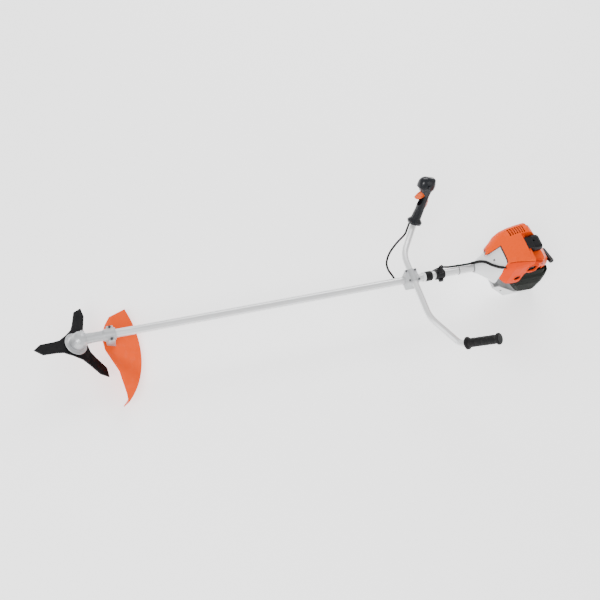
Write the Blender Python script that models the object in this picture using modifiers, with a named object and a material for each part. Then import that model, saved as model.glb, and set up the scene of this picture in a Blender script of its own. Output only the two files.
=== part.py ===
"""Brush cutter with a bicycle handlebar, a three-tooth knife and a two-stroke engine.

All sizes are in millimetres and MM turns them into Blender's metres. The machine frame has its
origin where the drive tube's axis meets the knife's axis: +X runs back along the tube to the
engine, +Y is the operator's right and +Z is up. The world origin lies on the floor under the
middle of the engine's foot, and the machine rests on that foot and on the deflector's skirt.
"""
import math

import bmesh
import bpy
from mathutils import Matrix, Vector

MM = 0.001
GAP = 0.3                    # clearance between pieces that touch

# Drive tube and gear head
TUBE_RADIUS = 14.0
TUBE_WALL = 1.6
TUBE_FRONT = 80.0
TUBE_REAR = 1440.0
TUBE_HEIGHT = 141.0          # tube axis above the floor
SHAFT_RADIUS = 4.0
BUSH_STATIONS = (430.0, 960.0)
HEAD_TILT = math.radians(32.5)
DOME_RADIUS = 28.0
COLLAR_FRONT = 78.0
COLLAR_REAR = 113.0
COLLAR_RADIUS = 20.0

# Bevel gears: their pitch cones meet at the machine frame's origin
PINION_TEETH = 15
GEAR_TEETH = 20
PINION_RADIUS = 13.5
TOOTH_HEIGHT = 0.9
CONE_SPREAD = math.pi / 2 + HEAD_TILT
PINION_CONE = math.atan2(math.sin(CONE_SPREAD), GEAR_TEETH / PINION_TEETH + math.cos(CONE_SPREAD))
GEAR_CONE = CONE_SPREAD - PINION_CONE
CONE_LENGTH = PINION_RADIUS / math.sin(PINION_CONE)
FACE_WIDTH = 6.0

# Knife
KNIFE_DROP = 32.0            # knife plane below the origin along the knife's axis
KNIFE_RADIUS = 150.0
KNIFE_THICKNESS = 4.0
KNIFE_TEETH = 3
KNIFE_PHASE = math.radians(73.5)
KNIFE_HUB = 43.0

# Deflector
DEFLECTOR_LIFT = 35.0        # plate above the knife plane
DEFLECTOR_WALL = 3.0

# Handlebar
HANDLE_X = 1150.0
BAR_HEIGHT = 36.0
BAR_RADIUS = 11.0
BAR_WALL = 1.8
BAR_LEFT_BEND = -178.0
BAR_RIGHT_BEND = 84.0
LEFT_CORNER = Vector((1221.0, -297.0, 30.0))
LEFT_END = Vector((1304.0, -353.0, 140.0))
RIGHT_CORNER = Vector((1240.0, 209.0, 28.0))
CONTROL_AXIS = Vector((0.294, 0.422, 0.857)).normalized()
CONTROL_BEND = 50.0
GRIP_RADIUS = 16.0

# Engine
FOOT_X = 1589.0
FOOT_HALF_LENGTH = 33.0
FOOT_HALF_WIDTH = 64.0
HOUSING_REAR = 1480.0
COWL_WALL = 2.4
CYLINDER_X = 1550.0
BORE_RADIUS = 20.3
FIN_RADIUS = 30.0
CRANK_THROW = 16.0
CRANK_PIN_RADIUS = 6.0
ROD_LENGTH = 60.0
ROPE_Y = -22.0
ROPE_Z = 33.0
CABLE_RADIUS = 3.2

MACHINE = Matrix.Translation(Vector((-FOOT_X, 0.0, TUBE_HEIGHT)) * MM)
HEAD = MACHINE @ Matrix.Rotation(HEAD_TILT, 4, "Y")


# ---------------------------------------------------------------- helpers

def clear_scene():
    for obj in list(bpy.data.objects):
        bpy.data.objects.remove(obj, do_unlink=True)


def new_collection(name):
    collection = bpy.data.collections.new(name)
    bpy.context.scene.collection.children.link(collection)
    return collection


def shifted(frame, x, y, z):
    """The frame moved to a point given in its own millimetres."""
    return frame @ Matrix.Translation(Vector((x, y, z)) * MM)


def aimed(frame, origin, direction, front=Vector((1.0, 0.0, 0.0))):
    """A frame at origin whose +Z runs along direction and whose +X stays near front."""
    z_axis = direction.normalized()
    x_axis = (front - z_axis * front.dot(z_axis)).normalized()
    y_axis = z_axis.cross(x_axis)
    turn = Matrix((x_axis, y_axis, z_axis)).transposed().to_4x4()
    return frame @ Matrix.Translation(origin * MM) @ turn


def add_object(name, data, frame):
    obj = bpy.data.objects.new(name, data)
    obj.matrix_world = frame
    PARTS.objects.link(obj)
    return obj


def mesh_object(name, bm, frame):
    """Turn a bmesh in millimetres into an object whose faces point outwards."""
    bmesh.ops.scale(bm, vec=(MM, MM, MM), verts=bm.verts)
    bmesh.ops.recalc_face_normals(bm, faces=bm.faces)
    mesh = bpy.data.meshes.new(name)
    bm.to_mesh(mesh)
    bm.free()
    return add_object(name, mesh, frame)


def bake(obj):
    """Swap an object for the plain mesh that its modifiers or its curve make."""
    bpy.context.view_layer.update()
    graph = bpy.context.evaluated_depsgraph_get()
    mesh = bpy.data.meshes.new_from_object(obj.evaluated_get(graph))
    bm = bmesh.new()
    bm.from_mesh(mesh)
    bmesh.ops.remove_doubles(bm, verts=bm.verts, dist=0.002 * MM)
    bmesh.ops.dissolve_degenerate(bm, edges=bm.edges, dist=0.002 * MM)
    bmesh.ops.recalc_face_normals(bm, faces=bm.faces)
    bm.to_mesh(mesh)
    bm.free()
    name = obj.name
    frame = obj.matrix_world.copy()
    bpy.data.objects.remove(obj, do_unlink=True)
    return add_object(name, mesh, frame)


def boolean(target, tools, operation):
    """Join tools to the target, or cut them out of it, and remove them."""
    for tool in tools:
        modifier = target.modifiers.new(operation.lower(), "BOOLEAN")
        modifier.operation = operation
        modifier.solver = "EXACT"
        modifier.object = tool
        tool.hide_render = True
        tool.display_type = "WIRE"
        CUTTERS.objects.link(tool)
        PARTS.objects.unlink(tool)
    result = bake(target)
    for tool in tools:
        bpy.data.objects.remove(tool, do_unlink=True)
    return result


def cut(target, *tools):
    return boolean(target, tools, "DIFFERENCE")


def join(target, *tools):
    return boolean(target, tools, "UNION")


def box(name, frame, low, high, bevel=0.0):
    """A box between two corners, with its edges rounded by bevel."""
    bm = bmesh.new()
    bmesh.ops.create_cube(bm, size=1.0)
    size = Vector(high) - Vector(low)
    bmesh.ops.scale(bm, vec=size, verts=bm.verts)
    bmesh.ops.translate(bm, vec=Vector(low) + size / 2, verts=bm.verts)
    if bevel:
        bmesh.ops.bevel(bm, geom=bm.edges, offset=bevel, segments=2, profile=0.5, affect="EDGES")
    return mesh_object(name, bm, frame)


def rod(name, frame, start, end, radius, end_radius=None, segments=20):
    """A cylinder, or a cone, between two points."""
    start, end = Vector(start), Vector(end)
    if end_radius is None:
        end_radius = radius
    axis = end - start
    bm = bmesh.new()
    bmesh.ops.create_cone(bm, cap_ends=True, segments=segments, radius1=radius,
                          radius2=end_radius, depth=axis.length)
    turn = Vector((0, 0, 1)).rotation_difference(axis).to_matrix().to_4x4()
    bmesh.ops.transform(bm, matrix=Matrix.Translation((start + end) / 2) @ turn, verts=bm.verts)
    return mesh_object(name, bm, frame)


def ball(name, frame, centre, radii, segments=24, rings=14):
    bm = bmesh.new()
    bmesh.ops.create_uvsphere(bm, u_segments=segments, v_segments=rings, radius=1.0)
    bmesh.ops.scale(bm, vec=radii, verts=bm.verts)
    bmesh.ops.translate(bm, vec=centre, verts=bm.verts)
    return mesh_object(name, bm, frame)


def turned(name, frame, profile, steps=24, ring=False):
    """Turn a profile of (radius, height) points, listed top to bottom, about the frame's Z."""
    mesh = bpy.data.meshes.new(name)
    points = [(radius * MM, 0.0, height * MM) for radius, height in profile]
    edges = [(i, i + 1) for i in range(len(points) - 1)]
    if ring:
        edges.append((len(points) - 1, 0))
    mesh.from_pydata(points, edges, [])
    obj = add_object(name, mesh, frame)
    screw = obj.modifiers.new("turn", "SCREW")
    screw.steps = steps
    screw.render_steps = steps
    screw.use_merge_vertices = True
    screw.merge_threshold = 0.002 * MM
    return bake(obj)


def along_x(frame):
    """The frame turned so that its Z runs along the old X: a shaft's profile runs down -X."""
    return frame @ Matrix.Rotation(math.pi / 2, 4, "Y")


def plate(name, frame, outline, thickness, lift=0.0):
    """A flat outline of (x, y) points, thickness thick, centred lift above the frame's XY."""
    curve = bpy.data.curves.new(name, "CURVE")
    curve.dimensions = "2D"
    curve.fill_mode = "BOTH"
    curve.render_resolution_u = 0
    curve.extrude = thickness / 2 * MM
    spline = curve.splines.new("POLY")
    spline.points.add(len(outline) - 1)
    for point, (x, y) in zip(spline.points, outline):
        point.co = (x * MM, y * MM, 0.0, 1.0)
    spline.use_cyclic_u = True
    return bake(add_object(name, curve, shifted(frame, 0.0, 0.0, lift)))


def upright_plate(name, frame, outline, y_low, y_high):
    """A side outline of (x, z) points that runs across the machine from y_low to y_high."""
    side = frame @ Matrix.Rotation(math.pi / 2, 4, "X")
    return plate(name, side, outline, y_high - y_low, lift=-(y_low + y_high) / 2)


def rounded(points, radii, steps=4):
    """A route through points whose inner corners are arcs of the given radii."""
    route = [Vector(points[0])]
    for before, corner, after, radius in zip(points, points[1:], points[2:], radii):
        before, corner, after = Vector(before), Vector(corner), Vector(after)
        arm_in = (before - corner).normalized()
        arm_out = (after - corner).normalized()
        half = arm_in.angle(arm_out) / 2
        reach = radius / math.tan(half)
        middle = corner + (arm_in + arm_out).normalized() * (radius / math.sin(half))
        first = (corner + arm_in * reach - middle).normalized()
        last = (corner + arm_out * reach - middle).normalized()
        for step in range(steps + 1):
            route.append(middle + first.slerp(last, step / steps) * radius)
    route.append(Vector(points[-1]))
    return route


def wire(name, frame, route, radius, resolution=2):
    """A round bar or tube along a route, closed at both ends."""
    curve = bpy.data.curves.new(name, "CURVE")
    curve.dimensions = "3D"
    curve.bevel_depth = radius * MM
    curve.bevel_resolution = resolution
    curve.use_fill_caps = True
    curve.render_resolution_u = 0
    spline = curve.splines.new("POLY")
    spline.points.add(len(route) - 1)
    for point, place in zip(spline.points, route):
        point.co = (place[0] * MM, place[1] * MM, place[2] * MM, 1.0)
    return bake(add_object(name, curve, frame))


def smooth_route(points, steps=4):
    """A soft curve through hand-chosen points (Catmull-Rom)."""
    knots = [Vector(point) for point in points]
    padded = [knots[0] * 2 - knots[1]] + knots + [knots[-1] * 2 - knots[-2]]
    route = []
    for a, b, c, d in zip(padded, padded[1:], padded[2:], padded[3:]):
        for step in range(steps):
            t = step / steps
            route.append(0.5 * (2 * b + (c - a) * t + (2 * a - 5 * b + 4 * c - d) * t ** 2
                                + (3 * b - a - 3 * c + d) * t ** 3))
    route.append(knots[-1])
    return route


def section(station, inset=0.0, corner_steps=5):
    """The ring of a rounded rectangle across X: (x, y_low, y_high, z_low, z_high, corner)."""
    x, y_low, y_high, z_low, z_high, corner = station
    radius = max(corner - inset, 1.0)
    y_low, y_high = y_low + inset + radius, y_high - inset - radius
    z_low, z_high = z_low + inset + radius, z_high - inset - radius
    ring = []
    corners = ((y_high, z_high), (y_low, z_high), (y_low, z_low), (y_high, z_low))
    for quarter, (y, z) in enumerate(corners):
        for step in range(corner_steps + 1):
            angle = (quarter + step / corner_steps) * math.pi / 2
            ring.append(Vector((x, y + radius * math.cos(angle), z + radius * math.sin(angle))))
    return ring


def loft(name, frame, rings):
    """A closed solid through rings with the same number of points."""
    bm = bmesh.new()
    loops = [[bm.verts.new(point) for point in ring] for ring in rings]
    for lower, upper in zip(loops, loops[1:]):
        for i in range(len(lower)):
            j = (i + 1) % len(lower)
            bm.faces.new((lower[i], lower[j], upper[j], upper[i]))
    bm.faces.new(loops[0])
    bm.faces.new(loops[-1])
    bmesh.ops.remove_doubles(bm, verts=bm.verts, dist=0.002)
    return mesh_object(name, bm, frame)


def dress(obj, slot):
    """Give a finished piece its material and its shading."""
    color, roughness, metallic = MATERIALS[slot]
    material = bpy.data.materials.get(slot)
    if material is None:
        material = bpy.data.materials.new(slot)
        material.use_nodes = True
        shader = material.node_tree.nodes["Principled BSDF"]
        shader.inputs["Base Color"].default_value = (*color, 1.0)
        shader.inputs["Roughness"].default_value = roughness
        shader.inputs["Metallic"].default_value = metallic
        material.diffuse_color = (*color, 1.0)
    obj.data.materials.clear()
    obj.data.materials.append(material)
    obj.data.shade_smooth()
    obj.data.set_sharp_from_angle(angle=math.radians(35))
    return obj


MATERIALS = {
    "orange_plastic": ((0.95, 0.22, 0.03), 0.38, 0.0),
    "light_plastic": ((0.78, 0.79, 0.78), 0.45, 0.0),
    "black_plastic": ((0.025, 0.026, 0.028), 0.45, 0.0),
    "tank_plastic": ((0.03, 0.036, 0.033), 0.3, 0.0),
    "black_rubber": ((0.018, 0.018, 0.019), 0.8, 0.0),
    "tube_aluminium": ((0.74, 0.74, 0.75), 0.32, 0.9),
    "cast_aluminium": ((0.72, 0.73, 0.73), 0.5, 0.7),
    "knife_steel": ((0.02, 0.02, 0.022), 0.4, 0.4),
    "bright_steel": ((0.55, 0.55, 0.57), 0.3, 1.0),
    "dark_steel": ((0.2, 0.2, 0.21), 0.4, 1.0),
    "white_ceramic": ((0.85, 0.85, 0.82), 0.25, 0.0),
}


# ---------------------------------------------------------------- gear head and knife

def knife_outline():
    """Three teeth with a pointed apex between two shoulders, joined by hollow flanks."""
    outline = []
    for tooth in range(KNIFE_TEETH):
        middle = KNIFE_PHASE + tooth * 2 * math.pi / KNIFE_TEETH
        shape = ((55.0, -24.0), (76.0, -14.5), (124.0, -7.4), (KNIFE_RADIUS, 0.0),
                 (126.0, 9.4), (76.0, 15.5), (55.0, 24.0), (46.0, 42.0), (KNIFE_HUB, 60.0),
                 (46.0, 78.0))
        for radius, degrees in shape:
            angle = middle + math.radians(degrees)
            outline.append((radius * math.cos(angle), radius * math.sin(angle)))
    return outline


def build_knife():
    bore = rod("bore", HEAD, (0, 0, -50), (0, 0, -20), 10.0)
    knife = plate("brush_knife", HEAD, knife_outline(), KNIFE_THICKNESS, lift=-KNIFE_DROP)
    dress(cut(knife, bore), "knife_steel")


def build_output_shaft():
    """The vertical shaft with its thrust plate, rider plate and nut."""
    knife_top = -KNIFE_DROP + KNIFE_THICKNESS / 2 + GAP
    knife_base = -KNIFE_DROP - KNIFE_THICKNESS / 2 - GAP
    shaft = turned("output_shaft", HEAD, (
        (0, -6.0), (6, -6.0), (6, -9.8), (8, -9.8), (8, -23.0), (6, -23.0), (6, -58.0), (0, -58.0)))
    dress(shaft, "bright_steel")
    thrust = turned("thrust_plate", HEAD, (
        (6.3, -23.6), (24, -23.6), (30, -25.0), (38, -25.0), (39, -26.0), (38, -27.0), (32, -27.0),
        (22, knife_top), (9.4, knife_top), (9.4, knife_base + 1.0), (6.3, knife_base + 1.0)), ring=True)
    dress(thrust, "cast_aluminium")
    rider = turned("rider_plate", HEAD, (
        (6.3, knife_base), (30, knife_base), (27, -40.0), (17, -46.0), (13, -46.0), (13, -39.5),
        (6.3, -39.5)), ring=True)
    dress(rider, "dark_steel")
    nut = rod("knife_nut", HEAD, (0, 0, -40.0), (0, 0, -53.0), 10.5, segments=6)
    bore = rod("bore", HEAD, (0, 0, -39), (0, 0, -60), 6.3)
    dress(cut(nut, bore), "bright_steel")


def bevel_teeth(frame, count, cone, phase):
    """Teeth with a square section, lying along the pitch cone about the frame's +Z."""
    inner_length = CONE_LENGTH - FACE_WIDTH
    shrink = inner_length / CONE_LENGTH
    along = Vector((math.sin(cone), 0.0, math.cos(cone)))
    sink = Vector((math.cos(cone), 0.0, -math.sin(cone))) * -TOOTH_HEIGHT
    size = 2.0 * TOOTH_HEIGHT
    teeth = []
    for tooth in range(count):
        place = frame @ Matrix.Rotation(phase + tooth * 2 * math.pi / count, 4, "Z")
        teeth.append(rod("tooth", place, along * CONE_LENGTH + sink,
                         along * inner_length + sink * shrink, size, size * shrink, segments=4))
    return teeth


def build_gears():
    """The blanks stand back from the pitch cones, and the teeth cross them."""
    root = TOOTH_HEIGHT + 0.25
    pinion_frame = along_x(MACHINE)
    reach_out = CONE_LENGTH * math.cos(PINION_CONE)
    reach_in = (CONE_LENGTH - FACE_WIDTH) * math.cos(PINION_CONE)
    radius_out = PINION_RADIUS - root / math.cos(PINION_CONE)
    radius_in = radius_out * reach_in / reach_out
    pinion = turned("bevel_pinion", pinion_frame, (
        (SHAFT_RADIUS + GAP, reach_out + 9), (8, reach_out + 9), (8, reach_out + 4),
        (radius_out - 1, reach_out + 3), (radius_out, reach_out), (radius_in, reach_in),
        (SHAFT_RADIUS + GAP, reach_in)), ring=True)
    dress(join(pinion, *bevel_teeth(pinion_frame, PINION_TEETH, PINION_CONE, 0.0)), "dark_steel")

    gear_frame = HEAD @ Matrix.Rotation(math.pi, 4, "X")
    depth_out = CONE_LENGTH * math.cos(GEAR_CONE) + root / math.sin(GEAR_CONE)
    depth_in = depth_out - FACE_WIDTH * math.cos(GEAR_CONE)
    rim = CONE_LENGTH * math.sin(GEAR_CONE)
    rim_in = (CONE_LENGTH - FACE_WIDTH) * math.sin(GEAR_CONE)
    gear = turned("bevel_gear", gear_frame, (
        (6.3, 9.4), (rim - 3, 9.4), (rim, 8.4), (rim, depth_out), (rim_in, depth_in),
        (6.3, depth_in)), ring=True)
    half_tooth = math.pi / GEAR_TEETH
    dress(join(gear, *bevel_teeth(gear_frame, GEAR_TEETH, GEAR_CONE, half_tooth)), "dark_steel")


def build_gear_head():
    """The hollow cast housing, its bearings, its filler screw and its clamp collar."""
    dome = turned("gear_head_housing", HEAD, (
        (0, DOME_RADIUS), (11, 26), (20, 20), (26, 11), (DOME_RADIUS, 0), (DOME_RADIUS, -12),
        (26, -18), (22, -22.5), (0, -22.5)))
    spin = along_x(MACHINE)
    neck = turned("neck", spin, (
        (0, COLLAR_REAR), (COLLAR_RADIUS, COLLAR_REAR), (COLLAR_RADIUS, COLLAR_FRONT), (16.5, 70),
        (16.5, 45), (18, 8), (0, 8)), steps=28)
    lugs = box("lugs", MACHINE, (86, -28.5, -11), (108, 28.5, 8), bevel=2.0)
    boss = rod("boss", HEAD, (12, 15, 2), (12, 31, 2), 6.5)
    housing = join(dome, neck, lugs, boss)
    inside = turned("inside", HEAD, (
        (0, 23), (9, 22), (17, 16), (22, 8), (23.5, 0), (23.5, -12), (15, -12.5), (15, -24), (0, -24)))
    neck_bore = turned("neck_bore", spin, (
        (0, COLLAR_REAR + 1), (TUBE_RADIUS + GAP, COLLAR_REAR + 1),
        (TUBE_RADIUS + GAP, TUBE_FRONT - GAP), (11, TUBE_FRONT - GAP), (11, 34.5), (14.9, 34.5),
        (14.9, 2), (0, 2)), steps=28)
    filler_bore = rod("filler_bore", HEAD, (12, 10, 2), (12, 32, 2), 4.3)
    screw_bores = [rod("screw_bore", MACHINE, (97, side * 22.5, -12), (97, side * 22.5, 9), 2.8)
                   for side in (-1, 1)]
    dress(cut(housing, inside, neck_bore, filler_bore, *screw_bores), "cast_aluminium")

    filler = rod("filler_screw", HEAD, (12, 22, 2), (12, 32.5, 2), 3.9)
    filler_head = rod("filler_head", HEAD, (12, 31 + GAP, 2), (12, 34.5, 2), 6.0, segments=6)
    dress(join(filler, filler_head), "bright_steel")
    for index, side in enumerate((-1, 1), start=1):
        shank = rod("shank", MACHINE, (97, side * 22.5, -10), (97, side * 22.5, 9), 2.4)
        head = rod(f"head_clamp_screw_{index}", MACHINE, (97, side * 22.5, 8 + GAP),
                   (97, side * 22.5, 13), 4.2)
        dress(join(head, shank), "dark_steel")
    bearing = turned("output_bearing", HEAD, (
        (8.3, -13), (14.7, -13), (14.7, -22), (12.4, -22), (12.4, -21), (10.6, -21), (10.6, -22),
        (8.3, -22)), steps=16, ring=True)
    dress(bearing, "bright_steel")
    race = turned("pinion_bearing", along_x(MACHINE), (
        (SHAFT_RADIUS + GAP, 34), (14.6, 34), (14.6, 25), (11.5, 25), (11.5, 26), (8.5, 26),
        (8.5, 25), (SHAFT_RADIUS + GAP, 25)), steps=16, ring=True)
    dress(race, "bright_steel")


def build_deflector():
    """A crescent plate behind the knife with a skirt along its outer edge."""
    centre = Vector((-100.0, 5.0))
    radius = 321.0
    start, end = math.radians(25.0), math.radians(-43.8)
    steps = 22

    def arc(distance, first, last):
        angles = [first + (last - first) * step / steps for step in range(steps + 1)]
        return [(centre.x + distance * math.cos(a), centre.y + distance * math.sin(a))
                for a in angles]

    lift = -KNIFE_DROP + DEFLECTOR_LIFT
    outer = arc(radius, start, end)
    front = [(132.0, -183.0), (121.0, -104.0), (84.0, -30.0), (80.0, 22.0), (101.0, 67.0),
             (123.0, 100.0)]
    panel = plate("deflector", HEAD, outer + front, DEFLECTOR_WALL, lift=lift)
    reach = centre.x + radius
    base = (-TUBE_HEIGHT + reach * math.sin(HEAD_TILT)) / math.cos(HEAD_TILT) + GAP
    top = lift + DEFLECTOR_WALL / 2 - 0.5
    wall = outer + arc(radius - DEFLECTOR_WALL, end, start)
    skirt = plate("skirt", HEAD, wall, top - base, lift=(top + base) / 2)
    ribs = [box("rib", HEAD @ Matrix.Rotation(turn, 4, "Z"), (118, -1.5, lift - 9), (212, 1.5, lift))
            for turn in (math.radians(-28), math.radians(-10), math.radians(9))]
    dress(join(panel, skirt, *ribs), "orange_plastic")

    plate_top = lift + DEFLECTOR_WALL / 2 + GAP
    slope = [(along * math.cos(HEAD_TILT) + plate_top * math.sin(HEAD_TILT),
              plate_top * math.cos(HEAD_TILT) - along * math.sin(HEAD_TILT)) for along in (92, 126)]
    bracket = upright_plate("deflector_bracket", MACHINE, (
        (slope[0][0], -10), slope[0], slope[1], (slope[1][0] + 1, -10)), -13, 13)
    saddle = rod("saddle", MACHINE, (60, 0, 0), (130, 0, 0), COLLAR_RADIUS + GAP, segments=24)
    lugs = box("lugs", MACHINE, (85, -30, -11 - GAP), (109, 30, 9))
    dress(cut(bracket, saddle, lugs), "cast_aluminium")


# ---------------------------------------------------------------- drive tube

def build_tube():
    spin = along_x(MACHINE)
    inner = TUBE_RADIUS - TUBE_WALL
    tube = turned("drive_tube", spin, (
        (inner, TUBE_REAR), (TUBE_RADIUS, TUBE_REAR), (TUBE_RADIUS, TUBE_FRONT),
        (inner, TUBE_FRONT)), ring=True)
    dress(tube, "tube_aluminium")
    shaft = turned("drive_shaft", spin, (
        (0, 1460), (SHAFT_RADIUS, 1460), (SHAFT_RADIUS, 10), (0, 10)), steps=16)
    dress(shaft, "dark_steel")
    for index, place in enumerate(BUSH_STATIONS, start=1):
        bush = turned(f"shaft_bush_{index}", spin, (
            (SHAFT_RADIUS + GAP, place + 15), (inner - GAP, place + 15), (inner - GAP, place - 15),
            (SHAFT_RADIUS + GAP, place - 15)), steps=20, ring=True)
        dress(bush, "black_rubber")
    sleeve = turned("tube_sleeve", spin, (
        (TUBE_RADIUS + GAP, 1237), (17, 1237), (18, 1235), (18, 1213), (16, 1212), (16, 1202),
        (TUBE_RADIUS + GAP, 1202)), ring=True)
    dress(sleeve, "black_rubber")


def build_carrying_eyelet():
    """A clamp around the tube with a wire loop on top for the harness hook."""
    band = turned("carrying_eyelet", along_x(MACHINE), (
        (0, 1286), (17.5, 1286), (19, 1284), (19, 1254), (17.5, 1252), (0, 1252)))
    crest = box("crest", MACHINE, (1260, -9, 14), (1278, 15, 24), bevel=2.0)
    nub = box("nub", MACHINE, (1262, -27, -13), (1278, -12, 1), bevel=2.5)
    loop = wire("loop", MACHINE, rounded(
        ((1269, -7, 20), (1269, -10, 26), (1269, 6, 50), (1269, 17, 26), (1269, 13, 20)),
        (3.0, 4.0, 3.0)), 2.4, resolution=2)
    bore = rod("bore", MACHINE, (1250, 0, 0), (1290, 0, 0), TUBE_RADIUS + GAP, segments=24)
    split = box("split", MACHINE, (1250, -30, -6.8), (1290, -13, -5.2))
    dress(cut(join(band, crest, nub, loop), bore, split), "black_plastic")


# ---------------------------------------------------------------- handlebar

def build_handle_clamp():
    low, high = (HANDLE_X - 23, -33, -17), (HANDLE_X + 21, 18, BAR_HEIGHT + 1.5)
    cap_base = BAR_HEIGHT + 1.5 + GAP
    cap_top = cap_base + 4.0
    middle = Vector(low).lerp(Vector(high), 0.5)
    screw_places = [(middle.x + dx, middle.y + dy) for dx in (-17.5, 17.5) for dy in (-20, 20)]

    def bar_bore():
        return rod("bar_bore", MACHINE, (HANDLE_X, -60, BAR_HEIGHT), (HANDLE_X, 60, BAR_HEIGHT),
                   BAR_RADIUS + GAP, segments=24)

    def screw_bores():
        return [rod("screw_bore", MACHINE, (x, y, 17), (x, y, cap_top + 1), 2.8, segments=16)
                for x, y in screw_places]

    base = box("handle_clamp_base", MACHINE, low, high, bevel=4.0)
    tube_bore = rod("tube_bore", MACHINE, (HANDLE_X - 40, 0, 0), (HANDLE_X + 40, 0, 0),
                    TUBE_RADIUS + GAP, segments=24)
    split = box("split", MACHINE, (HANDLE_X - 40, -50, -0.8), (HANDLE_X + 40, -10, 0.8))
    dress(cut(base, tube_bore, split, bar_bore(), *screw_bores()), "cast_aluminium")

    flange = box("handle_clamp_cap", MACHINE, (low[0], low[1], cap_base), (high[0], high[1], cap_top),
                 bevel=1.5)
    hump = rod("hump", MACHINE, (HANDLE_X, low[1] + 2, BAR_HEIGHT), (HANDLE_X, high[1] - 2, BAR_HEIGHT),
               BAR_RADIUS + 2.5, segments=24)
    trim = box("trim", MACHINE, (HANDLE_X - 40, -60, 0), (HANDLE_X + 40, 60, cap_base))
    dress(cut(join(flange, hump), bar_bore(), trim, *screw_bores()), "cast_aluminium")

    for index, (x, y) in enumerate(screw_places, start=1):
        head = rod(f"handle_clamp_screw_{index}", MACHINE, (x, y, cap_top + GAP),
                   (x, y, cap_top + 4), 3.8, segments=16)
        shank = rod("shank", MACHINE, (x, y, 18), (x, y, cap_top + 1), 2.4, segments=12)
        dress(join(head, shank), "dark_steel")


def build_handlebar():
    grip_axis = (LEFT_END - LEFT_CORNER).normalized()
    route = rounded((LEFT_END - grip_axis * 4, LEFT_CORNER, (HANDLE_X, BAR_LEFT_BEND, BAR_HEIGHT),
                     (HANDLE_X, BAR_RIGHT_BEND, BAR_HEIGHT), RIGHT_CORNER,
                     RIGHT_CORNER + CONTROL_AXIS * 62), (40.0, 90.0, 110.0, CONTROL_BEND))
    core_route = [route[0] + grip_axis * 2] + route[1:-1] + [route[-1] + CONTROL_AXIS * 2]
    bar = wire("handlebar", MACHINE, route, BAR_RADIUS, resolution=3)
    core = wire("core", MACHINE, core_route, BAR_RADIUS - BAR_WALL, resolution=2)
    dress(cut(bar, core), "tube_aluminium")

    base = 21.0
    length = (LEFT_END - LEFT_CORNER).length
    top = length - base
    profile = [(0, top), (17, top), (20, top - 3), (20, top - 9), (GRIP_RADIUS, top - 13)]
    ribs = 4
    pitch = (top - 34) / ribs
    for rib in range(ribs):
        high = top - 16 - rib * pitch
        profile += [(GRIP_RADIUS, high), (GRIP_RADIUS - 1.2, high - 2), (GRIP_RADIUS - 1.2, high - 4),
                    (GRIP_RADIUS, high - 6)]
    profile += [(GRIP_RADIUS, 14), (22, 9), (22, 3), (18, 0), (BAR_RADIUS + GAP, 0),
                (BAR_RADIUS + GAP, top - 3), (0, top - 3)]
    frame = aimed(MACHINE, LEFT_CORNER + grip_axis * base, grip_axis)
    dress(turned("left_grip", frame, profile, steps=16), "black_rubber")


CARB_LEVER_PIVOT = (1545.0, 60.0, 60.4)

# Control handle: its own frame stands on the bar's right corner, +Z up the handle, -X forward.
CONTROL = aimed(MACHINE, RIGHT_CORNER, CONTROL_AXIS)
HANDLE_STATIONS = (
    (6, -24, 22, -24, 26, 20), (15, -25, 24, -26, 30, 22), (27, -17, 17, -17, 20, 16),
    (62, -15.5, 15.5, -16, 16, 14), (118, -15.5, 15.5, -15, 17, 14), (136, -18, 18, -16, 30, 16),
    (150, -22, 22, -19, 42, 18), (172, -20, 20, -20, 36, 18), (184, -14, 14, -17, 20, 12),
    (188, -8, 8, -11, 8, 6))
TRIGGER_PIVOT = (-9.0, 0.0, 124.0)
LOCKOUT_PIVOT = (10.0, 0.0, 104.0)
STOP_SWITCH_Z = 158.0


def control_shell(name, side):
    """One half of the handle's shell: side is -1 for the inner half and +1 for the outer one."""
    upward = CONTROL @ Matrix.Rotation(-math.pi / 2, 4, "Y")
    shell = loft(name, upward, [section(station) for station in HANDLE_STATIONS])
    room = [list(station) for station in HANDLE_STATIONS if station[0] >= 118]
    room[0][0] = 68
    room[-1][0] = 184
    cavity = loft("cavity", upward, [section(station, inset=2.6) for station in room])
    bar = rod("bar", CONTROL, (0, 0, 0), (0, 0, 70), BAR_RADIUS + GAP)
    bend = wire("bend", MACHINE, rounded(
        ((HANDLE_X, BAR_RIGHT_BEND, BAR_HEIGHT), RIGHT_CORNER, RIGHT_CORNER + CONTROL_AXIS * 62),
        (CONTROL_BEND,)), BAR_RADIUS + 2 * GAP, resolution=3)
    trigger_slot = box("trigger_slot", CONTROL, (-60, -6.2, 82), (2, 6.2, 134))
    lockout_slot = box("lockout_slot", CONTROL, (4, -5.3, 66), (26, 5.3, 110))
    button_bore = rod("button_bore", CONTROL, (-10, -30, STOP_SWITCH_Z), (-10, -8, STOP_SWITCH_Z), 5.4)
    other_half = box("other_half", CONTROL, (-60, -40 if side > 0 else -GAP / 2, -10),
                     (60, GAP / 2 if side > 0 else 40, 200))
    return cut(shell, cavity, bar, bend, trigger_slot, lockout_slot, button_bore, other_half)


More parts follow.
